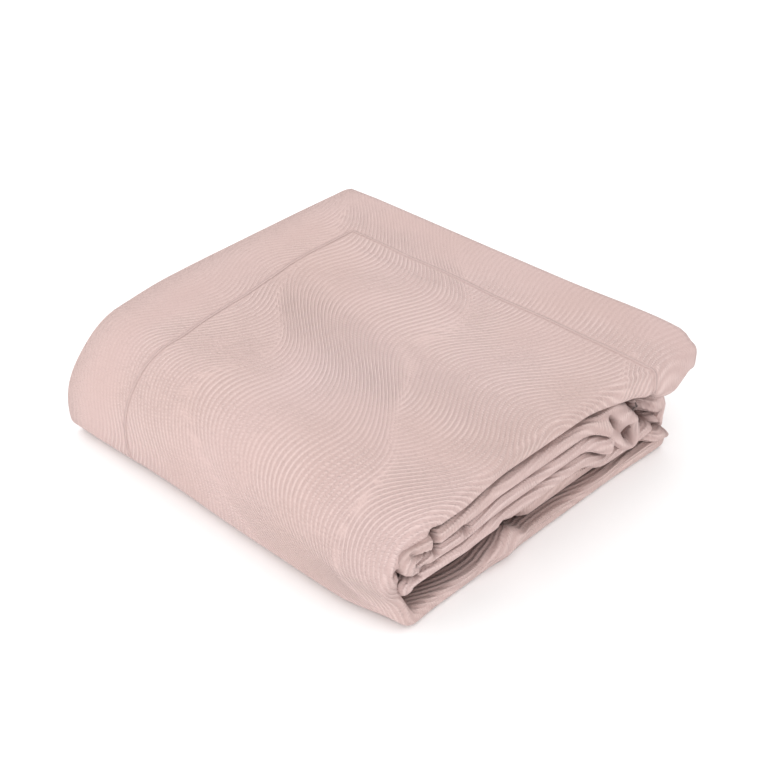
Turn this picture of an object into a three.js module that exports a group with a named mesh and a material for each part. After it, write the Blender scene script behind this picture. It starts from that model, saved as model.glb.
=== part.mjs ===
// A cotton bedspread with a ripple weave, folded for the shelf.
//
// The cloth is one hemmed piece. It is folded in half twice across its width, which gives a strip of
// four plies, and the strip is then folded over and over along its length into seven layers, with the
// first turn left as a big soft roll around the others.
//
// Millimetres, +Z up. X runs from the hem edges (-X) to the folded edges (+X), Y from the big roll (-Y)
// to the open side (+Y), and the packet rests on z = 0.

import * as THREE from "three";

const CLOTH = 2.4; // thickness of the woven cloth
const PLY = 4.48; // from one ply of the pile to the next, cloth and air
const STRIP = 4 * PLY; // four plies make one strip
const LAYERS = 7; // strips in the height of the packet
const FLAT_WIDTH = 1800; // hem to hem across the cloth
const FLAT_LENGTH = 2700; // hem to hem along the cloth

const PACKET_HEIGHT = LAYERS * STRIP;
const HALF_STRIP = 1.5 * PLY + CLOTH / 2; // from a strip's middle to the face of its outer ply
const HEM_X = -226; // where the side hem of the top ply lies
const FOLD_X = 218; // where the strip's folded edges begin to turn
const OPEN_Y = 205; // where the end hem lies on top
const ROLL_Y = -203; // how far the big roll reaches

// The big roll turns down in a wide shoulder, hangs nearly straight and tucks under in a tight heel.
const SHOULDER = 58;
const HEEL = 15;
const BELLY_TURN = 12;
const HEEL_TURN = 90 - BELLY_TURN;
const BELLY_DROP = PACKET_HEIGHT - 2 * HALF_STRIP - SHOULDER - HEEL * (1 - cosine(HEEL_TURN));
const BELLY = BELLY_DROP / sine(BELLY_TURN);

const LEFT = 1;
const RIGHT = -1;

// Across the cloth: over the top, back underneath, and to and fro inside. Grid lines crowd to the fold.
const ACROSS = [
  { name: "top ply", to: FOLD_X, steps: 7, crowd: 2 },
  bend("outer fold", 1.5 * PLY, 180, RIGHT, 6),
  { name: "under ply", to: HEM_X + 4, steps: 7, crowd: 0.5 },
  bend("middle fold", 0.5 * PLY, 180, RIGHT, 3),
  { name: "lower inner ply", to: FOLD_X, steps: 7, crowd: 2 },
  bend("inner fold", 0.5 * PLY, 180, LEFT, 3),
  { name: "upper inner ply, to the other hem", steps: 7, crowd: 0.5 },
];

// Along the cloth: over the top, round the big roll, along the bottom, and to and fro between them.
const ALONG = [
  { name: "top", to: ROLL_Y + HALF_STRIP + SHOULDER, steps: 7 },
  bend("shoulder of the roll", SHOULDER, 90, LEFT, 6),
  bend("belly of the roll", BELLY, BELLY_TURN, LEFT, 1),
  bend("heel of the roll", HEEL, HEEL_TURN, LEFT, 3),
  { name: "bottom", to: 194, steps: 6 },
  bend("turn from second to third", STRIP / 2, 180, LEFT, 4),
  { name: "third", to: -158, steps: 6 },
  bend("turn from third to fourth", STRIP / 2, 180, RIGHT, 4),
  { name: "fourth", to: 186, steps: 6 },
  bend("turn from fourth to fifth", STRIP / 2, 180, LEFT, 4),
  { name: "fifth", to: -160, steps: 6 },
  bend("turn from fifth to sixth", STRIP / 2, 180, RIGHT, 4),
  { name: "sixth", to: 190, steps: 6 },
  bend("turn from sixth to seventh", STRIP / 2, 180, LEFT, 4),
  { name: "seventh, to the far hem", steps: 5 },
];

// How the packet settles, one move after another. A move reaches over x, y and z and, where it is about
// some of the layers, over t, the distance along the cloth. A reach of two marks rises from the first
// mark to the second, and one of four also falls again between the third and the fourth.
const SETTLE = [
  { name: "seventh layer drawn in under the top", x: [60, 224], t: [2362, 2404], move: [-14, 0, 0] },
  { name: "seventh layer further in by its hem", x: [60, 224], t: [2590, 2650], move: [-30, 0, 0] },
  {
    name: "sixth and seventh layers further in at the right end",
    x: [60, 224],
    t: [2250, 2330, 2475, 2545],
    move: [-44, 0, 0],
  },
  { name: "inner layers drawn in", x: [130, 224], t: [1236, 1264, 2340, 2390], move: [-6, 0, 0] },
  { name: "third layer in under slack folds", x: [90, 224], t: [888, 930, 1020, 1060], move: [-46, 0, 0] },
  { name: "third layer by the middle", x: [90, 224], t: [1020, 1060, 1100, 1120], move: [-7, 0, 0] },
  {
    name: "third layer far in, a dark gap over the bottom layer",
    x: [90, 224],
    t: [1100, 1120, 1220, 1260],
    move: [-26, 0, 0],
  },
  { name: "edge of the bottom layer", x: [130, 222], t: [450, 520], z: [17, 11], move: [-5, 0, 0] },
  {
    name: "inner layers slid away from the near corner",
    x: [60, 200],
    t: [1150, 1230, 2030, 2110],
    move: [0, 12, 0],
  },
  {
    name: "inner layers pushed up by the gap",
    x: [130, 222],
    y: [-120, -60, 60, 110],
    z: [17, 36, 80, 112],
    move: [0, 0, 5],
  },
  {
    name: "slack folds hanging at the right",
    x: [170, 226],
    y: [62, 112, 116, 165],
    z: [22, 37, 112, 126],
    move: [0, 0, -17],
  },
  {
    name: "fat end of the top layer at the right",
    x: [170, 226],
    y: [112, 165],
    z: [73, 106, 106, 130],
    move: [0, 0, -26],
  },
  { name: "top layer over the edge", x: [130, 222], t: [320, 260], z: [92, 125], move: [0, 0, -3] },
  { name: "near corner pressed down", x: [60, 226], y: [-50, -165], z: [14, 94], move: [0, 0, -18] },
  {
    name: "shoulder of the roll sunk in at the near corner",
    x: [60, 226],
    t: [325, 385, 410, 470],
    move: [0, 0, -12],
  },
  { name: "end of the roll drawn in", x: [120, 224], y: [-110, -182], z: [2, 50], move: [-17, 0, 0] },
  {
    name: "shoulder slumped at the hem edges",
    x: [-40, -226],
    y: [-60, -190],
    z: [40, 110],
    move: [2, 8, -7],
  },
  {
    name: "heel pushed out at the hem edges",
    x: [-60, -226],
    y: [-120, -190],
    z: [70, 12],
    move: [-2, -4, 0],
  },
  { name: "roll drawn in at the folded edges", x: [150, 226], y: [0, -200], move: [0, 10, 0] },
  {
    name: "belly of the roll pushed out",
    x: [-120, 40, 140, 210],
    y: [-100, -190],
    z: [90, 30],
    move: [0, -3, 0],
  },
  { name: "top layer slid out to the right", x: [-300, 420], y: [0, 205], t: [400, 300], move: [0, 20, 0] },
  { name: "corner of the top layer pulled out", x: [70, 215], y: [60, 205], t: [400, 300], move: [5, 20, 0] },
  { name: "corner of the top layer sunk", x: [70, 215], y: [60, 205], z: [40, 112], move: [0, 0, -9] },
  {
    name: "corner of the top layer rounded off",
    x: [200, 230],
    y: [165, 245],
    t: [400, 300],
    move: [-2, -12, 0],
  },
  { name: "right end pushed out", x: [130, 222], y: [110, 190], z: [72, 60], move: [3, 1, 0] },
  { name: "soft hem edges", x: [-120, -226], y: [-150, 0], z: [60, 125], move: [-4, 0, -1] },
  { name: "soft open side", y: [110, 215], z: [60, 125], move: [0, 2, -1] },
];

function sine(degrees) {
  return Math.sin((degrees * Math.PI) / 180);
}

function cosine(degrees) {
  return Math.cos((degrees * Math.PI) / 180);
}

function bend(name, radius, degrees, side, steps) {
  return { name, run: (radius * degrees * Math.PI) / 180, turn: side * degrees, steps };
}

// Lays a course of stretches out on the cloth of the given size, from its start and heading.
function layOut(course, size, start, heading) {
  const stretches = [];
  let [p, q] = start;
  let angle = (heading * Math.PI) / 180;
  let from = 0;
  for (const { to, run, turn = 0, steps, crowd = 1 } of course) {
    const straight = to === undefined ? size - from : Math.abs(to - p);
    const arc = (turn * Math.PI) / 180;
    const stretch = { from, run: run ?? straight, arc, steps, crowd, p, q, angle };
    stretches.push(stretch);
    [p, q, angle] = place(stretch, stretch.run);
    from += stretch.run;
  }
  return stretches;
}

function place({ run, arc, p, q, angle }, distance) {
  if (arc === 0) {
    return [p + distance * Math.cos(angle), q + distance * Math.sin(angle), angle];
  }
  const radius = run / arc;
  const turned = angle + distance / radius;
  return [
    p + radius * (Math.sin(turned) - Math.sin(angle)),
    q - radius * (Math.cos(turned) - Math.cos(angle)),
    turned,
  ];
}

function follow(stretches, distance) {
  const stretch = stretches.findLast(({ from }) => from <= distance);
  return place(stretch, distance - stretch.from);
}

const across = layOut(ACROSS, FLAT_WIDTH, [HEM_X, 1.5 * PLY], 0);
const along = layOut(ALONG, FLAT_LENGTH, [OPEN_Y, PACKET_HEIGHT - HALF_STRIP], 180);

// The point of the cloth's middle at s across and t along it, folded but not yet settled.
function folded(s, t) {
  const [x, lift] = follow(across, s);
  const [y, z, angle] = follow(along, t);
  return [x, y + lift * Math.sin(angle), z - lift * Math.cos(angle)];
}

function ramp(value, low, high) {
  const f = Math.min(1, Math.max(0, (value - low) / (high - low)));
  return f * f * (3 - 2 * f);
}

function share(value, marks) {
  if (!marks) return 1;
  const [start, full, ease, gone] = marks;
  const rise = ramp(value, start, full);
  return gone === undefined ? rise : rise * (1 - ramp(value, ease, gone));
}

function settle(point, distance) {
  return SETTLE.reduce((at, { x, y, z, t, move }) => {
    const amount = share(at[0], x) * share(at[1], y) * share(at[2], z) * share(distance, t);
    return at.map((place, axis) => place + amount * move[axis]);
  }, point);
}

function surface(s, t) {
  return new THREE.Vector3(...settle(folded(s, t), t));
}

// Unit normal of the cloth's upper face, from the slope of the settled surface.
function normal(s, t) {
  const h = 0.25;
  const s0 = Math.max(0, s - h);
  const s1 = Math.min(FLAT_WIDTH, s + h);
  const t0 = Math.max(0, t - h);
  const t1 = Math.min(FLAT_LENGTH, t + h);
  const alongS = surface(s1, t).sub(surface(s0, t));
  const alongT = surface(s, t1).sub(surface(s, t0));
  return alongT.cross(alongS).normalize();
}

// Shifts a share of the way to the end of a stretch (crowd over 1) or to its start (crowd under 1).
function crowded(part, crowd) {
  return crowd < 1 ? part ** (1 / crowd) : 1 - (1 - part) ** crowd;
}

// Grid lines of one direction: each stretch is cut into its own number of steps.
function gridLines(stretches, end) {
  const lines = stretches.flatMap(({ from, run, steps, crowd }) =>
    Array.from({ length: steps }, (_, i) => from + run * crowded(i / steps, crowd)),
  );
  return [...lines, end];
}

// Whether the line between two points leans from near left to far right. Every ply is split along lines
// that lean alike, so that plies bend the same way where they lie on each other.
function leansRight(positions, i, j) {
  const dx = positions[3 * i] - positions[3 * j];
  const dy = positions[3 * i + 1] - positions[3 * j + 1];
  return dx * dy > 0;
}

// One closed sheet: an upper face, a lower face, and the hem edges that join them.
function sheet(sLines, tLines) {
  const positions = [];
  const columns = sLines.length;
  const rows = tLines.length;
  for (const side of [0.5, -0.5]) {
    for (const t of tLines) {
      for (const s of sLines) {
        const point = surface(s, t).addScaledVector(normal(s, t), side * CLOTH);
        positions.push(point.x, point.y, point.z);
      }
    }
  }
  const faces = [];
  const under = columns * rows;
  for (let r = 0; r < rows - 1; r += 1) {
    for (let c = 0; c < columns - 1; c += 1) {
      const a = r * columns + c;
      const [b, d, e] = [a + 1, a + columns, a + columns + 1];
      const halves = leansRight(positions, b, d) ? [[a, d, b], [b, d, e]] : [[a, d, e], [a, e, b]];
      for (const [i, j, k] of halves) {
        faces.push(i, j, k);
        faces.push(under + i, under + k, under + j);
      }
    }
  }
  const rim = [];
  for (let c = 0; c < columns - 1; c += 1) rim.push(c);
  for (let r = 0; r < rows - 1; r += 1) rim.push(r * columns + columns - 1);
  for (let c = columns - 1; c > 0; c -= 1) rim.push((rows - 1) * columns + c);
  for (let r = rows - 1; r > 0; r -= 1) rim.push(r * columns);
  rim.forEach((a, i) => {
    const b = rim[(i + 1) % rim.length];
    faces.push(a, b, under + a, b, under + b, under + a);
  });
  const geometry = new THREE.BufferGeometry();
  geometry.setAttribute("position", new THREE.Float32BufferAttribute(positions, 3));
  geometry.setIndex(faces);
  geometry.computeVertexNormals();
  return geometry;
}

// Brings the middle of the packet's underside to the origin.
function stand(geometry) {
  geometry.computeBoundingBox();
  const { min, max } = geometry.boundingBox;
  return geometry.translate(-(min.x + max.x) / 2, -(min.y + max.y) / 2, -min.z);
}

const cotton = new THREE.MeshStandardMaterial({ color: "#e3c6c1", roughness: 0.95, metalness: 0 });
const bedspread = new THREE.Mesh(
  stand(sheet(gridLines(across, FLAT_WIDTH), gridLines(along, FLAT_LENGTH))),
  cotton,
);
bedspread.name = "bedspread";

const packet = new THREE.Group();
packet.add(bedspread);

export default packet;
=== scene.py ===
# %% [markdown]
# # A folded bedspread
#
# A cotton bedspread with a ripple weave lies folded for the shelf. It is one hemmed piece of
# cloth: folded in half twice across its width, then over and over along its length, with the first
# turn left as a big soft roll. Here the cloth is made again, finer, with its creases, its hem and
# its weave.

import math

import bmesh
import bpy
import numpy as np
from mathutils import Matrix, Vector


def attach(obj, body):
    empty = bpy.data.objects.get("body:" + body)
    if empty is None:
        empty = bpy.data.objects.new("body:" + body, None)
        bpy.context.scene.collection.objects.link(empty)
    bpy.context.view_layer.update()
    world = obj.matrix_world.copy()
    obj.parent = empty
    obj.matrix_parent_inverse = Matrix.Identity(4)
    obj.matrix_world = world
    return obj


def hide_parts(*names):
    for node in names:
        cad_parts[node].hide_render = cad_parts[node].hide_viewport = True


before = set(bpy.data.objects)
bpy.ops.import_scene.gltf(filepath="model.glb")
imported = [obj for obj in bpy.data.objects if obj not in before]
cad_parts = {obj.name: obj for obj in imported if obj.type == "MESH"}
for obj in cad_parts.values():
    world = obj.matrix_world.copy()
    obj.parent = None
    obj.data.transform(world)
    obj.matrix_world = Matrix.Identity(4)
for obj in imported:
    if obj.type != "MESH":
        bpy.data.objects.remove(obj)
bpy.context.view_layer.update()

# %% [markdown]
# ## Camera
#
# The picture was taken from the corner between the big roll and the folded edges, looking well
# down on the packet. The edges of the packet run almost parallel in it, which means a long lens
# from some way off. So the camera stands about 1.8 m away, turned down by 35 degrees, with a lens
# of 80 mm.

# %% Place the camera
CAMERA_PLACE = (0.9756, -1.0143, 1.045)
CAMERA_TURN = 43.75  # degrees from +Y towards -X
CAMERA_DOWN = 35.0
CAMERA_LENS = 79.9  # mm, on a sensor 36 mm wide

lens = bpy.data.cameras.new("camera")
lens.sensor_width = 36.0
lens.lens = CAMERA_LENS
camera = bpy.data.objects.new("camera", lens)
bpy.context.scene.collection.objects.link(camera)
bpy.context.scene.camera = camera
turn = math.radians(CAMERA_TURN)
down = math.radians(CAMERA_DOWN)
look = Vector((-math.sin(turn) * math.cos(down), math.cos(turn) * math.cos(down), -math.sin(down)))
camera.location = CAMERA_PLACE
camera.rotation_euler = look.to_track_quat("-Z", "Y").to_euler()
print("camera looks along", [round(part, 2) for part in look])

# %% [markdown]
# ## How the cloth is folded
#
# Folded cloth could be sculpted, or left to a cloth simulation, but then its folds fall where they
# like. Here each point of the flat cloth is carried to its place in the packet, so that the sheet
# keeps its real length and width. A point has two numbers: s, across from hem to hem, and t, along
# from hem to hem. Two courses say where it goes. Across, the cloth runs over the top ply, round
# the outer fold and back, and to and fro inside. Along, the strip of four plies runs over the top,
# round the roll, along the bottom and to and fro between them. Each course is a table of straight
# stretches and bends.

# %% Sizes of the cloth and the packet, in mm
CLOTH = 2.4  # thickness of the woven cloth
PLY = 4.48  # from one ply of the pile to the next
STRIP = 4 * PLY  # the cloth folded in half twice
LAYERS = 7
FLAT_WIDTH = 1800.0
FLAT_LENGTH = 2700.0
PACKET_HEIGHT = LAYERS * STRIP
HALF_STRIP = 1.5 * PLY + CLOTH / 2  # from a strip's middle to its face
HEM_X = -226.0  # side of the hem edges
FOLD_X = 218.0  # where the outer fold begins
OPEN_Y = 205.0  # end of the top layer
ROLL_Y = -203.0  # outer side of the roll
MIDDLE = np.array([-0.09, 16.96, 0.0])  # the packet's middle, where the frame's origin is

SHOULDER = 58.0  # radius of the roll's upper bend
HEEL = 15.0  # and of its lower one
BELLY_TURN = 12.0  # degrees that the cloth turns between the two
HEEL_TURN = 90.0 - BELLY_TURN
HEEL_RISE = HEEL * (1 - math.cos(math.radians(HEEL_TURN)))
BELLY_DROP = PACKET_HEIGHT - 2 * HALF_STRIP - SHOULDER - HEEL_RISE
BELLY = BELLY_DROP / math.sin(math.radians(BELLY_TURN))
print("packet height", PACKET_HEIGHT, "mm, belly radius", round(BELLY), "mm")


# %% Stretches and bends
def straight(to, steps, crowd=1.0):
    """Straight on to a place, in steps that crowd towards its end (above 1) or start (below 1)."""
    return {"to": to, "steps": steps, "crowd": crowd, "turn": 0.0}


def bend(radius, degrees, steps):
    """Round a bend, to the left above 0 degrees."""
    run = radius * math.radians(abs(degrees))
    return {"run": run, "turn": math.radians(degrees), "steps": steps, "crowd": 1.0}


print("a straight stretch:", straight(FOLD_X, 21, 1.8))

# %% Courses across and along
ACROSS = [
    straight(FOLD_X, 21, 1.8),  # top ply, from its hem
    bend(1.5 * PLY, -180, 12),  # outer fold
    straight(HEM_X + 4, 12, 0.58),  # under ply
    bend(0.5 * PLY, -180, 4),  # middle fold
    straight(FOLD_X, 6, 1.6),  # lower inner ply
    bend(0.5 * PLY, 180, 3),  # inner fold
    straight(None, 8, 0.62),  # upper inner ply, to the other hem
]
CREASED_Y = 96.0  # past this the folded edges are full of creases, which need a closer grid
CORNER_Y = -110.0  # and before this they run into the near corner
ALONG = [
    straight(ROLL_Y + HALF_STRIP + SHOULDER, 64),  # top
    bend(SHOULDER, 90, 18),  # shoulder of the roll
    bend(BELLY, BELLY_TURN, 8),  # belly of the roll
    bend(HEEL, HEEL_TURN, 8),  # heel of the roll
    straight(CREASED_Y, 54),  # bottom
    straight(194, 32),
    bend(STRIP / 2, 180, 10),
    straight(CREASED_Y, 22),  # third layer
    straight(-158, 34),
    bend(STRIP / 2, -180, 8),
    straight(CORNER_Y, 20),  # fourth layer
    straight(CREASED_Y, 32),
    straight(186, 62),
    bend(STRIP / 2, 180, 10),
    straight(CREASED_Y, 62),  # fifth layer
    straight(CORNER_Y, 32),
    straight(-160, 20),
    bend(STRIP / 2, -180, 8),
    straight(CORNER_Y, 16),  # sixth layer
    straight(CREASED_Y, 34),
    straight(190, 62),
    bend(STRIP / 2, 180, 8),
    straight(CREASED_Y, 20),  # seventh layer
    straight(None, 40),  # on to the far hem
]
for course in (ACROSS, ALONG):
    print(len(course), "stretches in", sum(part["steps"] for part in course), "steps")


# %% Lay the courses out
def place(stretch, distance):
    """Where the cloth is after a distance along one stretch, and its heading there."""
    p, q, angle, turn, run = (stretch[key] for key in ("p", "q", "angle", "turn", "run"))
    if turn == 0:
        return p + distance * math.cos(angle), q + distance * math.sin(angle), angle + 0 * distance
    radius = run / turn
    turned = angle + distance / radius
    return (
        p + radius * (np.sin(turned) - math.sin(angle)),
        q - radius * (np.cos(turned) - math.cos(angle)),
        turned,
    )


def lay_out(course, size, start, heading):
    """Lays a course of stretches out on the cloth, from its start and heading in degrees."""
    stretches = []
    p, q = start
    angle = math.radians(heading)
    begin = 0.0
    for part in course:
        if "run" in part:
            run = part["run"]
        elif part["to"] is None:
            run = size - begin
        else:
            run = abs(part["to"] - p)
        stretch = {**part, "from": begin, "run": run, "p": p, "q": q, "angle": angle}
        stretches.append(stretch)
        p, q, angle = (float(value) for value in place(stretch, run))
        begin += run
    return stretches


across = lay_out(ACROSS, FLAT_WIDTH, (HEM_X, 1.5 * PLY), 0)
along = lay_out(ALONG, FLAT_LENGTH, (OPEN_Y, PACKET_HEIGHT - HALF_STRIP), 180)
print("stretches across", len(across), "and along", len(along))


# %% [markdown]
# ## Pressed folds
#
# A fold that carries the weight of a packet isn't a half circle. It is pressed flat on the
# outside, with two tight bends. A circle whose sine and cosine are raised to a power below 1 has
# that shape, and keeps the plies of a turn apart.

# %% Turns pressed flat
OUTER_FOLD = across[1]
OUTER_RADIUS = 1.5 * PLY
INNER_START = 6  # the stretch along the cloth where the layers inside the roll begin
INNER_TURNS = [stretch for stretch in along[INNER_START:] if stretch["turn"]]
SQUARENESS = 0.62  # 1 for a round fold, less for one that is pressed flat
BULGE = 1.1  # how far the outer fold stands out, as a share of its radius


def half_turn(distance, stretch):
    """How far round a half turn a distance is, in radians, and whether it is on it."""
    turned = (distance - stretch["from"]) / stretch["run"] * math.pi
    return turned, (turned > 0) & (turned < math.pi)


def squared(turned, radius):
    """A half turn pressed flat: how far out the cloth is, and how far to the side it came from."""
    turned = np.clip(turned, 0, math.pi)
    side = np.cos(turned)
    out = radius * np.sin(turned) ** SQUARENESS
    return out, radius * np.sign(side) * np.abs(side) ** SQUARENESS


print("outer fold", round(OUTER_FOLD["from"]), "mm across, and", len(INNER_TURNS), "turns inside")


# %% Fold the cloth
def follow(stretches, distance):
    """Where the cloth is at many distances, each on its own stretch, and its heading there."""
    found = np.zeros((3,) + distance.shape)
    for stretch in stretches:
        here = distance >= stretch["from"]
        found[:, here] = place(stretch, distance[here] - stretch["from"])
    return found


def fold(s, t):
    """Carries points of the flat cloth into the packet."""
    x, lift, _ = follow(across, s)
    turned, on_fold = half_turn(s, OUTER_FOLD)
    out, side = squared(turned, OUTER_RADIUS)
    x = np.where(on_fold, FOLD_X + BULGE * out, x)
    lift = np.where(on_fold, side, lift)
    y, z, angle = follow(along, t)
    y = y + lift * np.sin(angle)
    z = z - lift * np.cos(angle)
    for stretch in INNER_TURNS:
        turned, on_turn = half_turn(t, stretch)
        to_right = np.sign(stretch["turn"])
        out, side = squared(turned, STRIP / 2 + to_right * lift)
        y = np.where(on_turn, stretch["p"] + to_right * out, y)
        z = np.where(on_turn, stretch["q"] + STRIP / 2 - side, z)
    return np.stack([x, y, z], axis=-1)


print("the cloth's first corner is at", fold(np.zeros(1), np.zeros(1))[0].round(1).tolist(), "mm")

# %% [markdown]
# ## How the packet settles
#
# Real cloth doesn't stay in a neat pile. Layers slide in or out by a few centimetres, the roll
# slumps at its ends and the top layer's corner hangs. The next tables hold such moves, in
# millimetres, made one after another. The reach of a move over x, y, z and t rises softly from its
# first mark to the second, and with four marks it falls again between the last two. The marks on t
# pick the layers.


# %% A move of the cloth
def move(name, by, **reach):
    """One move, by so many mm in x, y and z, with the marks of its reach."""
    return {"name": name, "by": by, **reach}


def ramp(value, low, high):
    """Rises softly from 0 at low to 1 at high."""
    part = np.clip((value - low) / (high - low), 0, 1)
    return part * part * (3 - 2 * part)


def share(value, marks):
    """How much of a move a point gets for one of its coordinates."""
    if marks is None:
        return 1.0
    rise = ramp(value, marks[0], marks[1])
    return rise if len(marks) == 2 else rise * (1 - ramp(value, marks[2], marks[3]))


print("a mark's reach half way up:", share(np.array(5.0), (0, 10)))

# %% [markdown]
# First the layers slide. The one next to the top is drawn in and can't be seen, and the one above
# the bottom is drawn in too, which leaves the dark gap under the others.

# %% Layers that slide
SETTLE = [
    move("seventh layer in under the top", (-14, 0, 0), x=(60, 224), t=(2362, 2404)),
    move("seventh layer further in by its hem", (-30, 0, 0), x=(60, 224), t=(2590, 2650)),
    move("last turn in at the right", (-20, 0, 0), x=(60, 224), t=(2325, 2358, 2475, 2545)),
    move("inner layers in", (-6, 0, 0), x=(130, 224), t=(1236, 1264, 2340, 2390)),
    move("third layer in under slack folds", (-34, 0, 0), x=(90, 224), t=(905, 940, 946, 984)),
    move("third layer in at the gap", (-15, 0, 0), x=(90, 224), t=(930, 980, 1085, 1125)),
    move("third layer far in", (-44, 0, 0), x=(90, 224), t=(1085, 1125, 1244, 1260)),
    move("last but one turn in at the right", (-8, 9, 0), x=(90, 224), t=(1600, 1624, 1656, 1680)),
]
print(len(SETTLE), "moves of layers")

# %% [markdown]
# At the right end the turns sag one on the other, the sixth layer hangs down as a flap and the top
# layer's edge comes down on them. Near the gap's middle the bottom layer swells up.

# %% Slack folds at the right end
RIGHT_X = (150, 226)  # marks of moves that share them
SLACK_X = (170, 226)
SLACK_Y = (62, 112, 140, 174)

SETTLE += [
    move("turn sags", (0, 0, -12), x=RIGHT_X, y=(140, 172),
         z=(30, 44, 60, 86), t=(1560, 1600, 1690, 1720)),
    move("its end hangs", (3, 5, -14), x=RIGHT_X, y=(174, 206),
         z=(20, 30, 38, 56), t=(1590, 1614, 1650, 1672)),
    move("lowest turn goes thin", (0, 0, -9), x=RIGHT_X, y=(150, 205),
         z=(9, 30), t=(855, 880, 930, 1000)),
    move("bottom swells", (2, 0, 22), x=(150, 222), y=(-95, -52, -48, -12),
         z=(8, 18), t=(480, 520, 840, 880)),
    move("fifth layer in under the flap", (-26, 0, 0), x=(90, 224), t=(1650, 1672, 1698, 1714)),
    move("flap of the sixth layer", (3, 0, -32), x=(168, 216),
         z=(90, 74), t=(2270, 2326, 2340, 2358)),
    move("flap up to the top layer", (2, 0, 10), x=(168, 216),
         z=(76, 90), t=(2258, 2300, 2340, 2358)),
    move("edge of the bottom layer", (-5, 0, 0), x=(130, 222), z=(17, 11), t=(450, 520)),
    move("sixth layer swells", (2, 0, 6), x=(130, 215), z=(74, 90), t=(1994, 2030, 2270, 2320)),
    move("layers up by the gap", (0, 0, 5), x=(130, 222), y=(-165, -115, 60, 110),
         z=(17, 36, 80, 112)),
    move("slack folds hang", (0, 0, -11), x=SLACK_X, y=SLACK_Y, z=(22, 37, 50, 78)),
    move("layers sink a little", (0, 0, -7), x=SLACK_X, y=SLACK_Y, z=(22, 37, 76, 94)),
    move("fat end of the top layer", (0, 0, -26), x=SLACK_X, y=(112, 165), z=(73, 106, 106, 130)),
    move("top layer's edge down", (0, 0, -15), x=SLACK_X, y=(50, 125, 175, 200),
         z=(126, 108), t=(400, 300)),
    move("top layer over the edge", (0, 0, -3), x=(130, 222), z=(92, 125), t=(320, 260)),
]
print(len(SETTLE), "moves with the slack folds")

# %% [markdown]
# At the near corner the roll's end is slack. Its rim is drawn in and pressed down, and the ends of
# the inner layers are pushed up into it. At the other end, by the hems, the roll slumps.

# %% Near corner and roll
THIRD_TO_SIXTH = (1150, 1230, 2030, 2110)  # marks on t

SETTLE += [
    move("near corner pressed down", (0, 0, -18), x=(60, 226), y=(-50, -165), z=(14, 94)),
    move("shoulder sunk at the near corner", (0, 0, -12), x=(60, 226), t=(325, 385, 410, 470)),
    move("layers into it", (0, -3, 2), x=(120, 222), y=(-110, -165),
         z=(22, 40, 72, 90), t=THIRD_TO_SIXTH),
    move("turn pushed into it", (-4, -12, 2), x=(150, 222), t=(1190, 1236, 1272, 1330)),
    move("next turn pushed into it", (-2, -8, 5), x=(150, 222), t=(1930, 1980, 2030, 2100)),
    move("roll's rim drawn in", (-17, 0, 0), x=(120, 224), y=(-110, -182), z=(2, 50), t=(560, 500)),
    move("shoulder slumped at the hems", (2, 8, -7), x=(-40, -226), y=(-60, -190), z=(40, 110)),
    move("heel pushed out at the hems", (-2, -4, 0), x=(-60, -226), y=(-120, -190), z=(70, 12)),
    move("roll drawn in at the folded edges", (0, 10, 0), x=(150, 226), y=(0, -200)),
    move("belly pushed out", (0, -3, 0), x=(-120, 40, 140, 210), y=(-100, -190), z=(90, 30)),
]
print(len(SETTLE), "moves with the roll")

# %% [markdown]
# Last, the top layer has slid out to the right, and most at its corner, which hangs over. The open
# side and the hem edges lie a little uneven.

# %% Top layer and edges
SETTLE += [
    move("top layer slid out", (0, 20, 0), x=(-300, 420), y=(0, 205), t=(400, 300)),
    move("its corner pulled out", (5, 20, 0), x=(70, 215), y=(60, 205), t=(400, 300)),
    move("its corner sunk", (0, 0, -9), x=(70, 215), y=(60, 205), z=(40, 112)),
    move("its corner rounded off", (-2, -12, 0), x=(200, 230), y=(165, 245), t=(400, 300)),
    move("right end pushed out", (3, 1, 0), x=(130, 222), y=(110, 190), z=(72, 60)),
    move("right end pressed flat", (0, -5, 0), x=(110, 214), y=(190, 216), z=(84, 70)),
    move("lowest turn pressed flat", (0, -7, 0), x=(110, 214), y=(188, 208), z=(44, 30)),
    move("soft hem edges", (-4, 0, -1), x=(-120, -226), y=(-150, 0), z=(60, 125)),
    move("soft open side", (0, 2, -1), y=(110, 215), z=(60, 125)),
    move("hem corner rounded off", (7, -3, -3), x=(-212, -236), y=(196, 224), z=(100, 120)),
]


def settle(points, t):
    for row in SETTLE:
        reach = [share(value, row.get(mark)) for value, mark in zip((*points.T, t), "xyzt")]
        amount = reach[0] * reach[1] * reach[2] * reach[3]
        points = points + amount[:, None] * np.array(row["by"], dtype=float)
    return points


print("the last of", len(SETTLE), "moves:", SETTLE[-1]["name"])

# %% [markdown]
# ## Creases at the folded edges
#
# Where the folded edges are pressed together they pucker: troughs run over them, slanting down to
# the right, and between them the cloth bulges. Each row is one trough or, with a depth below 0,
# one bulge: a line on the end of the packet in y and z, a width to each side and a depth into the
# packet, in mm. A trough may have a steep wall on one side of its line, where a flap of cloth
# overlaps it. Proportional editing by hand would give the same shapes, but a table can be read and
# changed.


# %% A trough in the folded edges
def trough(name, start, end, width, depth, wall=None):
    """One row of the table, with its line from start to end."""
    return {"name": name, "start": start, "end": end, "width": width, "depth": depth, "wall": wall}


def across_line(y, z, start, end):
    """Distance from a line's nearest point, above 0 on the line's left and below 0 on its right."""
    run = np.array(end, dtype=float) - np.array(start, dtype=float)
    part = np.clip(((y - start[0]) * run[0] + (z - start[1]) * run[1]) / run.dot(run), 0, 1)
    away = np.hypot(y - start[0] - part * run[0], z - start[1] - part * run[1])
    left = (z - start[1]) * run[0] - (y - start[0]) * run[1]
    return np.where(left > 0, away, -away)


print("1 mm to the left of a line:", across_line(0.0, 1.0, (-5, 0), (5, 0)))

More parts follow.
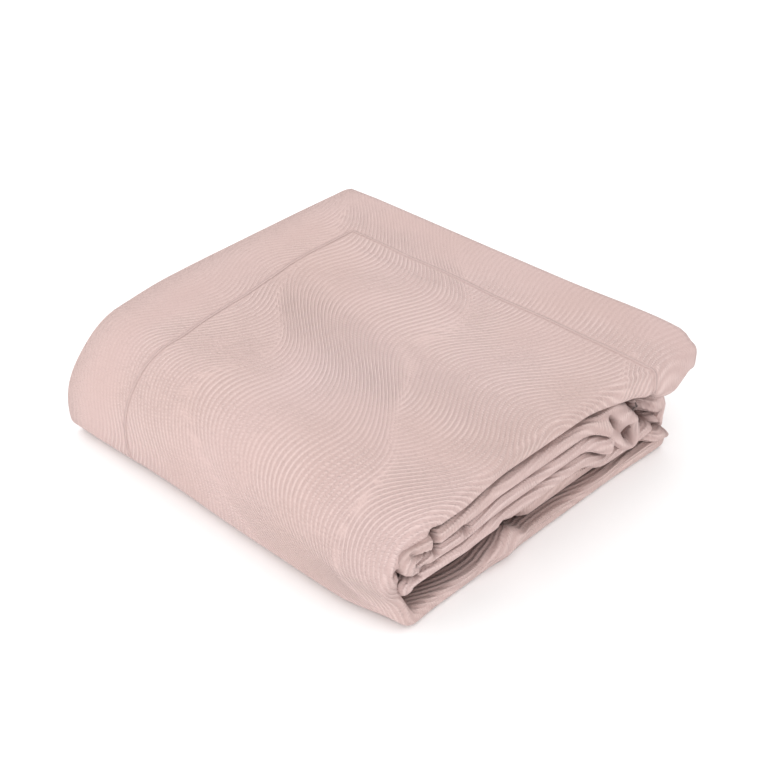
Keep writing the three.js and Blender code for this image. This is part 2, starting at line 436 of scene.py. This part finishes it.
# %% Creases
WALL = 1.0  # width of a steep side
CREASED_X = (140, 210)  # creases grow to their depth over these x

CREASES = [
    trough("pinch at the gap", (-50, 40), (-19, 19), width=5, depth=14, wall="right"),
    trough("bump left of the pinch", (-60, 26), (-46, 14), width=12, depth=-5),
    trough("line under the flap", (103, 80), (145, 38), width=2.8, depth=22),
    trough("right edge of the flap", (135, 88), (157, 59), width=3.0, depth=20),
    trough("fold inside it", (141, 75), (160, 70), width=2.4, depth=10, wall="left"),
    trough("hollow by the turn", (158, 80), (170, 60), width=4.0, depth=22),
    trough("its lower end", (170, 60), (163, 49), width=3.6, depth=20),
    trough("edge of the last turn", (161, 50), (196, 22), width=3.0, depth=8),
    trough("tongue", (99, 76), (104, 50), width=11, depth=-8, wall="left"),
    trough("near corner pucker", (-141, 88), (-138, 62), width=3.0, depth=13),
    trough("near corner slit", (-182, 60), (-158, 46), width=3.0, depth=13, wall="left"),
    trough("near corner upper slit", (-166, 76), (-140, 66), width=3.0, depth=13, wall="left"),
    trough("near corner lower slit", (-158, 58), (-136, 50), width=2.6, depth=10, wall="left"),
    trough("small pinch", (-107, 70), (-97, 63), width=3, depth=9),
]


def crease_depth(points):
    """How far each point goes into the packet for the creases, in mm."""
    x, y, z = points.T
    inward = np.zeros(len(x))
    for row in CREASES:
        distance = across_line(y, z, row["start"], row["end"])
        walled = {"left": distance > 0, "right": distance < 0}.get(row["wall"], False)
        inward += row["depth"] * np.exp(-((distance / np.where(walled, WALL, row["width"])) ** 2))
    return ramp(x, *CREASED_X) * inward


deepest = max(CREASES, key=lambda row: row["depth"])
print("the deepest of", len(CREASES), "creases:", deepest["name"])

# %% [markdown]
# ## Painted shade inside the folds
#
# Light reaches a narrow fold only after many bounces from pink cloth, so it looks a dusky brown
# there. The folds here are a little wider than the real ones, and would come out too pale. So a
# dusky brown shade is painted on the cloth where it goes in: beside the outer fold, where layers
# face each other, and in the creases.

# %% Painted shade of each point
SHADE_DEPTH = 11.0  # mm into a crease where the shade is full
SHADE_REACH = 25.0  # mm past the outer fold where the shade between layers is full
ROUND_THE_FOLD = 0.4  # how much of it comes on the fold itself
SHADED_X = (130, 180)
SHADED_Y = (196, 186)  # none past it, where the turns face out


def fold_shade(points, s, t):
    """Share of painted shade: 0 on the open side of the cloth, up to 1 between layers near the
    outer fold.
    """
    x, y, _ = points.T
    turned = np.clip((s - OUTER_FOLD["from"]) / OUTER_FOLD["run"], 0, 1)
    past_fold = np.maximum(OUTER_FOLD["from"] - s, s - OUTER_FOLD["from"] - OUTER_FOLD["run"])
    on_fold = ROUND_THE_FOLD * (1 - np.sin(math.pi * turned) ** 0.5)
    between = on_fold + (1 - ROUND_THE_FOLD) * ramp(past_fold, 0, SHADE_REACH)
    # The upper plies of the top, the roll and the underside face out.
    outside = (turned < 0.5) & (t < along[INNER_START]["from"])
    return np.where(outside, 0, between) * ramp(x, *SHADED_X) * ramp(y, *SHADED_Y)


print("full shade", SHADE_DEPTH, "mm down in a crease")

# %% [markdown]
# ## Making the sheet
#
# Blender's grid operator makes an even, flat grid. Its columns and rows are then set on the grid
# lines of the two courses, closer together at the folds, and each point is folded, settled and
# creased. The point's place on the flat cloth is kept as its UV, so that the weave follows the
# cloth round every fold.


# %% Grid lines
def grid_lines(stretches, end):
    """Distances of the grid lines, crowded as each stretch says."""
    lines = []
    for stretch in stretches:
        for i in range(stretch["steps"]):
            part = i / stretch["steps"]
            crowd = stretch["crowd"]
            part = part ** (1 / crowd) if crowd < 1 else 1 - (1 - part) ** crowd
            lines.append(stretch["from"] + stretch["run"] * part)
    return np.array(lines + [end])


s_lines = grid_lines(across, FLAT_WIDTH)
t_lines = grid_lines(along, FLAT_LENGTH)
print("grid of", len(s_lines), "by", len(t_lines), "lines")

# %% Fold a grid into the packet
UV_SPAN = FLAT_LENGTH  # one unit of the UV map, in mm of flat cloth

sheet = bmesh.new()
bmesh.ops.create_grid(sheet, x_segments=len(s_lines) - 1, y_segments=len(t_lines) - 1, size=0.5)
# The operator's grid runs from -0.5 to 0.5 both ways.
columns = [round((vert.co.x + 0.5) * (len(s_lines) - 1)) for vert in sheet.verts]
rows = [round((vert.co.y + 0.5) * (len(t_lines) - 1)) for vert in sheet.verts]
flat_s = s_lines[columns]
flat_t = t_lines[rows]
points = settle(fold(flat_s, flat_t), flat_t)
inward = crease_depth(points)
points[:, 0] -= inward
# Painted shade: between layers near the outer fold, and full at SHADE_DEPTH into a crease.
shade = fold_shade(points, flat_s, flat_t) + np.clip(inward, 0, None) / SHADE_DEPTH
print("deepest crease", round(float(inward.max()), 1), "mm")

# %% Keep the points, the painted shade and the place on the flat cloth
shade_layer = sheet.verts.layers.float.new("fold_shade")
for vert, point, amount in zip(sheet.verts, points - MIDDLE, np.clip(shade, 0, 1)):
    vert.co = point / 1000
    vert[shade_layer] = amount
sheet.verts.index_update()
uv = sheet.loops.layers.uv.new("flat_cloth")
for face in sheet.faces:
    face.smooth = True
    for loop in face.loops:
        i = loop.vert.index
        loop[uv].uv = (flat_s[i] / UV_SPAN, flat_t[i] / UV_SPAN)

bedspread_mesh = bpy.data.meshes.new("ripple_bedspread")
sheet.to_mesh(bedspread_mesh)
sheet.free()
bedspread = bpy.data.objects.new("ripple_bedspread", bedspread_mesh)
bpy.context.scene.collection.objects.link(bedspread)
print("sheet of", len(bedspread_mesh.polygons), "faces")

# %% [markdown]
# ## Thickness
#
# The grid is the middle of the cloth. Solidify gives it the cloth's thickness, half to each side,
# and closes its hem edges. Extruding the faces would do the same, but the modifier keeps the sheet
# easy to change.

# %% Give the cloth its thickness
thickness = bedspread.modifiers.new("cloth_thickness", "SOLIDIFY")
thickness.thickness = CLOTH / 1000
thickness.offset = 0.0
thickness.use_even_offset = False
print("cloth", CLOTH, "mm thick")

# %% [markdown]
# ## Ripple-woven cotton
#
# The cloth is thick piece-dyed cotton with a ripple weave: raised ribs about 6 mm apart, which
# sway from side to side as they run along it. Cotton is matt, with a little fuzz that lightens it
# at grazing angles, so the roughness is high and there is some sheen. Ribs of real geometry would
# need millions of faces. They are a bump on the cloth's own UV instead, so that they turn round
# the folds with it.


# %% Helpers for colours and nodes
def colour(code):
    """An sRGB hex value as linear light."""
    parts = [int(code[i : i + 2], 16) / 255 for i in (1, 3, 5)]
    linear = [c / 12.92 if c <= 0.04045 else ((c + 0.055) / 1.055) ** 2.4 for c in parts]
    return (*linear, 1.0)


def node(kind, inputs=(), **settings):
    """Adds a node, of a kind without its leading ShaderNode, to the cloth's material.

    Inputs are numbers, colours, sockets or nodes, which then give their first output. They are in
    order, or named by their sockets.
    """
    made = cotton.node_tree.nodes.new("ShaderNode" + kind)
    for name, value in settings.items():
        setattr(made, name, value)
    for socket, value in inputs.items() if isinstance(inputs, dict) else enumerate(inputs):
        if isinstance(value, bpy.types.Node):
            value = value.outputs[0]
        if isinstance(value, bpy.types.NodeSocket):
            cotton.node_tree.links.new(value, made.inputs[socket])
        else:
            made.inputs[socket].default_value = value
    return made


cotton = bpy.data.materials.new("ripple_woven_cotton")
cotton.use_nodes = True
cotton.node_tree.nodes.clear()
print("pale pink is", [round(part, 2) for part in colour("#e3c6c1")[:3]])

# %% [markdown]
# The weave is drawn on the flat cloth, at its real size. Its UV map, scaled up, gives each place's
# s and t in millimetres. A picture of woven cloth would be quicker to use, but nodes have no seams
# and each size in them can be named. Noise on the flat cloth makes what is uneven, and a Map Range
# node with a smooth step goes softly from one number to another while its value goes between two.

# %% Place on the flat cloth, in millimetres
cloth_uv = node("UVMap", uv_map="flat_cloth")
flat_place = node("VectorMath", {0: cloth_uv, "Scale": UV_SPAN}, operation="SCALE")
flat_mm = node("SeparateXYZ", [flat_place])
s_mm = flat_mm.outputs[0]
t_mm = flat_mm.outputs[1]
SOFT = {"interpolation_type": "SMOOTHSTEP"}  # setting of the Map Range nodes


def uneven(width, length, seed, detail=1.0):
    """Smooth blotches on the flat cloth, of a size in mm, from about -0.5 to 0.5."""
    size = (1 / width, 1 / length, 1.0)
    at = node("Mapping", {"Vector": flat_place, "Location": (seed, 0.0, 0.0), "Scale": size})
    sockets = {"Vector": at, "Scale": 1.0, "Detail": detail}
    blotches = node("TexNoise", sockets, noise_dimensions="2D")
    return node("Math", [blotches, 0.5], operation="SUBTRACT")


print("cloth material on", cloth_uv.uv_map)

# %% [markdown]
# ## The hem
#
# A hem is the cloth's own edge, turned under and sewn down, with a mitre at each corner. From
# above it shows as a strip 7 cm wide beside a raised seam, with the ribs shifted and fainter in
# it. The seam could be cut into the sheet as rows of faces, but it stands out by a millimetre or
# two only, so it is a bump too, drawn by the distance from the edges.

# %% Distance from the hem
HEM = 70.0  # mm from the cloth's edge to the hem's seam
HEM_SLANT = 20.0  # mm that the side hems gain over the roll
SLANT_FROM = 110.0  # mm along the cloth
SLANT_TO = 340.0
SEAM_WANDER = 7.0  # mm that the seam strays


def edge_distance(value, size):
    """Distance to the nearer of two edges of the cloth, which are a size apart."""
    to_far_edge = node("Math", [size, value], operation="SUBTRACT")
    return node("Math", [value, to_far_edge], operation="MINIMUM")


slant = node("MapRange", [t_mm, SLANT_FROM, SLANT_TO, 0.0, HEM_SLANT], **SOFT)
side_hem = node("Math", [edge_distance(s_mm, FLAT_WIDTH), slant], operation="SUBTRACT")
inside = node("Math", [side_hem, edge_distance(t_mm, FLAT_LENGTH)], operation="MINIMUM")
seam_wander = node("Math", [uneven(90, 90, 5.2), SEAM_WANDER], operation="MULTIPLY")
past_hem = node("Math", [inside, -HEM], operation="ADD")
from_seam = node("Math", [past_hem, seam_wander], operation="ADD")
in_hem = node("MapRange", [from_seam, -1.0, 1.0, 1.0, 0.0], **SOFT)
print("hem seam", HEM, "mm in from the edges")

# %% [markdown]
# ## The ripple
#
# A rib is a sine wave across the cloth, shifted sideways by a longer wave along it. All ribs of
# one family sway together. The weave has two such families that lean different ways, and where one
# runs into the other its ribs end at a slant, or both show through each other as a fine check. A
# border between them follows the ribs of the first family. In the layers below the roll the ribs
# run nearly straight.

# %% Families of ribs
RIB_PITCH = 5.6  # mm from rib to rib, straight across the cloth
SWAY_LENGTH = 187.0  # mm along the cloth from one sway to the next
# A family's ribs lean by drift mm per mm along the cloth and sway by so many mm to each side. The
# sway comes later by lag mm per mm across, from start mm on, and noise makes the ribs wander.
FAMILIES = [
    {"drift": 0.46, "sway": 21.0, "lag": 0.2, "start": 12.0, "wander": 34.0, "seed": 8.1},
    {"drift": -0.12, "sway": 19.0, "lag": 0.05, "start": 30.0, "wander": 30.0, "seed": 2.6},
]
HEM_SHIFT = 0.45  # of a rib, by which the ribs in the hem are shifted
SWAY_SPREAD = 0.9  # how much of the sway differs from place to place
ROLL_END = 480.0  # mm along the cloth, where the roll ends and the lean with it
CALM = 0.35  # share of the sway that is left past it

calmer = node("MapRange", [t_mm, 430.0, 560.0, 1.0, CALM], **SOFT)
drifting = node("Math", [t_mm, ROLL_END], operation="MINIMUM")
print("ribs sway by", [row["sway"] for row in FAMILIES], "mm to each side")


# %% Where each family's ribs run
def waves(distance, pitch):
    """A sine wave from -1 to 1 that comes again every pitch."""
    angle = node("Math", [distance, 2 * math.pi / pitch], operation="MULTIPLY")
    return node("Math", [angle], operation="SINE")


def ridges(distance, pitch):
    """Such a wave from 0 to 1."""
    return node("Math", [waves(distance, pitch), 0.5, 0.5], operation="MULTIPLY_ADD")


def rib_distance(row):
    """How far across the cloth a place is from the first rib of a family, in mm."""
    lag = node("Math", [s_mm, -row["lag"]], operation="MULTIPLY")
    lagging = node("Math", [t_mm, lag], operation="ADD")
    lagging = node("Math", [lagging, -row["start"]], operation="ADD")
    spread = [uneven(520, 330, row["seed"] + 4), SWAY_SPREAD * row["sway"], row["sway"]]
    swing_size = node("Math", spread, operation="MULTIPLY_ADD")
    swing_size = node("Math", [swing_size, calmer], operation="MULTIPLY")
    drift = node("Math", [drifting, row["drift"]], operation="MULTIPLY")
    shifted = [waves(lagging, SWAY_LENGTH), swing_size, drift]
    shifted = node("Math", shifted, operation="MULTIPLY_ADD")
    wander = node("Math", [uneven(430, 150, row["seed"]), row["wander"]], operation="MULTIPLY")
    shifted = node("Math", [shifted, wander], operation="ADD")
    hem_offset = node("Math", [in_hem, HEM_SHIFT * RIB_PITCH], operation="MULTIPLY")
    shifted = node("Math", [shifted, hem_offset], operation="ADD")
    return node("Math", [s_mm, shifted], operation="SUBTRACT")


distances = [rib_distance(row) for row in FAMILIES]
print(len(cotton.node_tree.nodes), "nodes so far")

# %% Ribs
BORDER_SPAN = 430.0  # mm across the cloth from one border between the families to the next
BORDER_STRAY = 2.6  # how far noise moves the border, where its wave is 1 high

border_wave = waves(distances[0], BORDER_SPAN)
border = node("Math", [uneven(210, 240, 31.4), BORDER_STRAY, border_wave], operation="MULTIPLY_ADD")
which = node("MapRange", [border, -0.1, 0.3, 0.0, 1.0], **SOFT)
ribs = [ridges(distance, RIB_PITCH) for distance in distances]
rib_height = node("Mix", {0: which, 2: ribs[1], 3: ribs[0]}, data_type="FLOAT")
print(len(FAMILIES), "families of ribs every", RIB_PITCH, "mm")

# %% Seam and the crease beside it
SEAM_TOP = 0.4  # mm, half the width of the seam's ridge at its top
SEAM_FOOT = 2.8  # mm, and at its foot
CREASE_T = HEM + 21.0  # mm along the cloth
CREASE_WIDTH = 3.4
CREASE_S = (84.0, 110.0, 190.0, 300.0)  # mm across: it rises over the first two, and falls again

seam_at = node("Math", [from_seam], operation="ABSOLUTE")
seam_ridge = node("MapRange", [seam_at, SEAM_TOP, SEAM_FOOT, 1.0, 0.0], **SOFT)
past_crease = node("Math", [t_mm, CREASE_T], operation="SUBTRACT")
crease_at = node("Math", [past_crease], operation="ABSOLUTE")
hem_crease = node("MapRange", [crease_at, 0.0, CREASE_WIDTH, 1.0, 0.0], **SOFT)
crease_rise = node("MapRange", [s_mm, *CREASE_S[:2], 0.0, 1.0], **SOFT)
crease_fall = node("MapRange", [s_mm, *CREASE_S[2:], 1.0, 0.0], **SOFT)
crease_reach = node("Math", [crease_rise, crease_fall], operation="MULTIPLY")
hem_crease = node("Math", [hem_crease, crease_reach], operation="MULTIPLY")
print("seam", 2 * SEAM_FOOT, "mm wide, crease at", CREASE_T, "mm along")

# %% Where the ribs fade
SEAM_RIBS = 0.2  # share of the ribs' height that is left beside the seam
EDGE_RIBS = 0.3  # near the cloth's edge
FLAT_RIBS = 0.65  # and in flatter patches
EDGE_STRAY = 60.0  # mm that noise moves the limit near the edge

# The ranges are in mm from the seam, in mm from the edge, and in the noise's own values.
beside_seam = node("MapRange", [seam_at, 2.0, 6.0, SEAM_RIBS, 1.0], **SOFT)
from_edge = node("Math", [uneven(70, 110, 17.7), EDGE_STRAY, inside], operation="MULTIPLY_ADD")
calm_edge = node("MapRange", [from_edge, 18.0, 62.0, EDGE_RIBS, 1.0], **SOFT)
flatter = node("MapRange", [uneven(150, 130, 40.9), -0.16, 0.02, FLAT_RIBS, 1.0], **SOFT)
rib_amount = node("Math", [beside_seam, calm_edge], operation="MULTIPLY")
rib_amount = node("Math", [rib_amount, flatter], operation="MULTIPLY")
print("near the edge the ribs keep", EDGE_RIBS, "of their height")

# %% [markdown]
# ## Beads and threads
#
# The weft threads tie each rib down and leave small beads along it. They are about 0.8 mm apart,
# too fine to show from here, so the beads and the threads are drawn coarser than real ones. Both
# could be a picture of cloth, laid on twice as large. Here a second wave along the ribs makes the
# beads, deeper in some places than in others, and fine noise makes the threads.

# %% Beads and threads
BEAD_PITCH = 3.2  # mm from bead to bead along a rib, coarser than the real 0.8 mm
BEAD_LEAN = 0.22  # mm along per mm across
BEAD_STRAY = 9.0  # mm
BEAD_DEPTHS = (0.15, 0.7)  # least and greatest, as shares of a rib's height
THREAD = 2.2  # mm, coarser than real for the same reason

leaning = node("Math", [s_mm, BEAD_LEAN], operation="MULTIPLY")
strayed = node("Math", [uneven(45, 45, 51.7), BEAD_STRAY], operation="MULTIPLY")
bead_place = node("Math", [t_mm, leaning], operation="ADD")
bead_place = node("Math", [bead_place, strayed], operation="ADD")
bead_depth = node("MapRange", [uneven(80, 60, 12.4), -0.2, 0.2, *BEAD_DEPTHS], **SOFT)
beads = node("Math", [bead_depth, ridges(bead_place, BEAD_PITCH)], operation="MULTIPLY")
beading = node("Math", [1.0, beads], operation="SUBTRACT")
beaded = node("Math", [rib_height, beading], operation="MULTIPLY")
beaded = node("Math", [beaded, rib_amount], operation="MULTIPLY")
threads = uneven(THREAD, 0.7 * THREAD, 21.3, 2.0)
print("beads every", BEAD_PITCH, "mm and threads every", THREAD, "mm")

# %% [markdown]
# ## Relief, colour and finish
#
# All that stands out of the cloth adds up to one height: beaded ribs, threads and the seam, less
# the crease. The bump node shades the cloth as if it had that height, which costs no faces. The
# cloth is dyed a pale dusty pink and is a little uneven. Painted shade makes it darker between the
# ribs than on them, and a dusky brown inside narrow folds. Each of these is one mix of two colours
# on the last.

# %% Relief
RIB_RELIEF = 0.0015  # m, a rib from its foot to its top
THREAD_RELIEF = 0.6  # shares of a rib's
SEAM_RELIEF = 1.3
CREASE_RELIEF = -0.8

relief = beaded
for height, amount in (
    (threads, THREAD_RELIEF),
    (seam_ridge, SEAM_RELIEF),
    (hem_crease, CREASE_RELIEF),
):
    relief = node("Math", [height, amount, relief], operation="MULTIPLY_ADD")
bump = node("Bump", {"Height": relief, "Strength": 1.0, "Distance": RIB_RELIEF})
print("ribs", 1000 * RIB_RELIEF, "mm high in the bump")

# %% Colour
# Painted light and shade on the relief: darker between the ribs, lighter on their tops and on
# raised threads.
PAINTED_SHADE_BETWEEN_RIBS = colour("#c4aba8")
RIB_TOPS = colour("#dac3c0")
PATCH_TINT = colour("#f4efe9")  # multiplies the others in patches
# Painted shade: a dusky brown mixed in where the fold_shade attribute says the cloth goes in.
PAINTED_SHADE = colour("#4a261f")
PAINTED_SHADE_SHARE = 0.85  # how much of the cloth's own colour the deepest shade takes
THREAD_PAINTED_LIGHT = 0.5  # how much a thread lightens the colour, where a whole rib counts 1

# The share of painted light by height: rib tops and threads lighter, the cloth between the ribs in
# painted shade.
rib_shade_at = node("Math", [threads, THREAD_PAINTED_LIGHT, beaded], operation="MULTIPLY_ADD")
painted_rib_shade = node("Mix", {0: rib_shade_at, 6: PAINTED_SHADE_BETWEEN_RIBS, 7: RIB_TOPS}, data_type="RGBA")
patch_at = node("Math", [uneven(180, 220, 14.9, 2.0), 0.5], operation="ADD")
shade_and_patches = {0: patch_at, 6: painted_rib_shade.outputs[2], 7: PATCH_TINT}
patches = node("Mix", shade_and_patches, data_type="RGBA", blend_type="MULTIPLY")
# The share of painted shade at each point, read from the sheet.
fold_shade_mask = node("Attribute", attribute_type="GEOMETRY", attribute_name="fold_shade")
painted_shade_at = node("Math", [fold_shade_mask.outputs["Fac"], PAINTED_SHADE_SHARE], operation="MULTIPLY")
painted_shade = node("Mix", {0: painted_shade_at, 6: patches.outputs[2], 7: PAINTED_SHADE}, data_type="RGBA")
print("rib tops", [round(part, 2) for part in RIB_TOPS[:3]])

# %% Finish
FINISH = {
    "Base Color": painted_shade.outputs[2],
    "Normal": bump,
    "Roughness": 0.92,  # matt cotton
    "Sheen Weight": 0.2,  # a little fuzz
    "Sheen Roughness": 0.5,
    "Sheen Tint": colour("#fbece8"),
    "Specular IOR Level": 0.3,  # hardly any gloss
}
node("OutputMaterial", [node("BsdfPrincipled", FINISH)])
bedspread_mesh.materials.append(cotton)
print("material", cotton.name, "with", len(cotton.node_tree.nodes), "nodes")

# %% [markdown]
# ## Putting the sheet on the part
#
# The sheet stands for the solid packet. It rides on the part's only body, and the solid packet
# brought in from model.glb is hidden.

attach(bedspread, "root")
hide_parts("bedspread")
print("declared", bedspread.name, "as folded cloth")

# %% [markdown]
# ## Floor and light
#
# The packet lies on white paper, matt and plain, which a large flat grid shows well enough. The
# light of the photo is even, with soft shadows: a bright surround and three weak, soft lights,
# from the left, from the front and low down by the roll. A sun would throw hard shadows, which the
# photo doesn't have.

# %% Floor
FLOOR_REACH = 6.0  # m from its middle to its edges
FLOOR_DROP = 0.0005  # m below the cloth, so that no two faces lie in one plane

floor_mesh = bpy.data.meshes.new("floor")
floor_sheet = bmesh.new()
bmesh.ops.create_grid(floor_sheet, x_segments=1, y_segments=1, size=FLOOR_REACH)
floor_sheet.to_mesh(floor_mesh)
floor_sheet.free()
floor = bpy.data.objects.new("floor", floor_mesh)
floor.location.z = -FLOOR_DROP
bpy.context.scene.collection.objects.link(floor)
paper = bpy.data.materials.new("white_paper")
paper.use_nodes = True
paper_finish = paper.node_tree.nodes["Principled BSDF"]
paper_finish.inputs["Base Color"].default_value = colour("#fafafa")
paper_finish.inputs["Roughness"].default_value = 0.9  # matt
floor_mesh.materials.append(paper)
print("floor", floor_mesh.name, "of", paper.name)

# %% Surround
SURROUND_LIGHT = 1.25  # above 1 so that the paper comes out white

surround = bpy.data.worlds.new("surround")
surround.use_nodes = True
background = surround.node_tree.nodes["Background"]
background.inputs[0].default_value = colour("#ffffff")
background.inputs[1].default_value = SURROUND_LIGHT
bpy.context.scene.world = surround
bpy.context.scene.view_settings.view_transform = "Standard"
print("surround of strength", SURROUND_LIGHT)

# %% Lights
LIGHTS = {
    "left_light": {"place": (-1.8, -0.6, 1.0), "size": 1.2, "power": 7},
    "front_light": {"place": (1.2, -1.7, 0.3), "size": 1.4, "power": 8},
    "low_light": {"place": (0.1, -1.6, 0.12), "size": 1.0, "power": 3},
}
for name, row in LIGHTS.items():
    lamp = bpy.data.lights.new(name, "AREA")
    lamp.size = row["size"]
    lamp.energy = row["power"]
    holder = bpy.data.objects.new(name, lamp)
    holder.location = row["place"]
    holder.rotation_euler = (-Vector(row["place"])).to_track_quat("-Z", "Y").to_euler()
    bpy.context.scene.collection.objects.link(holder)
print(len(LIGHTS), "soft lights")
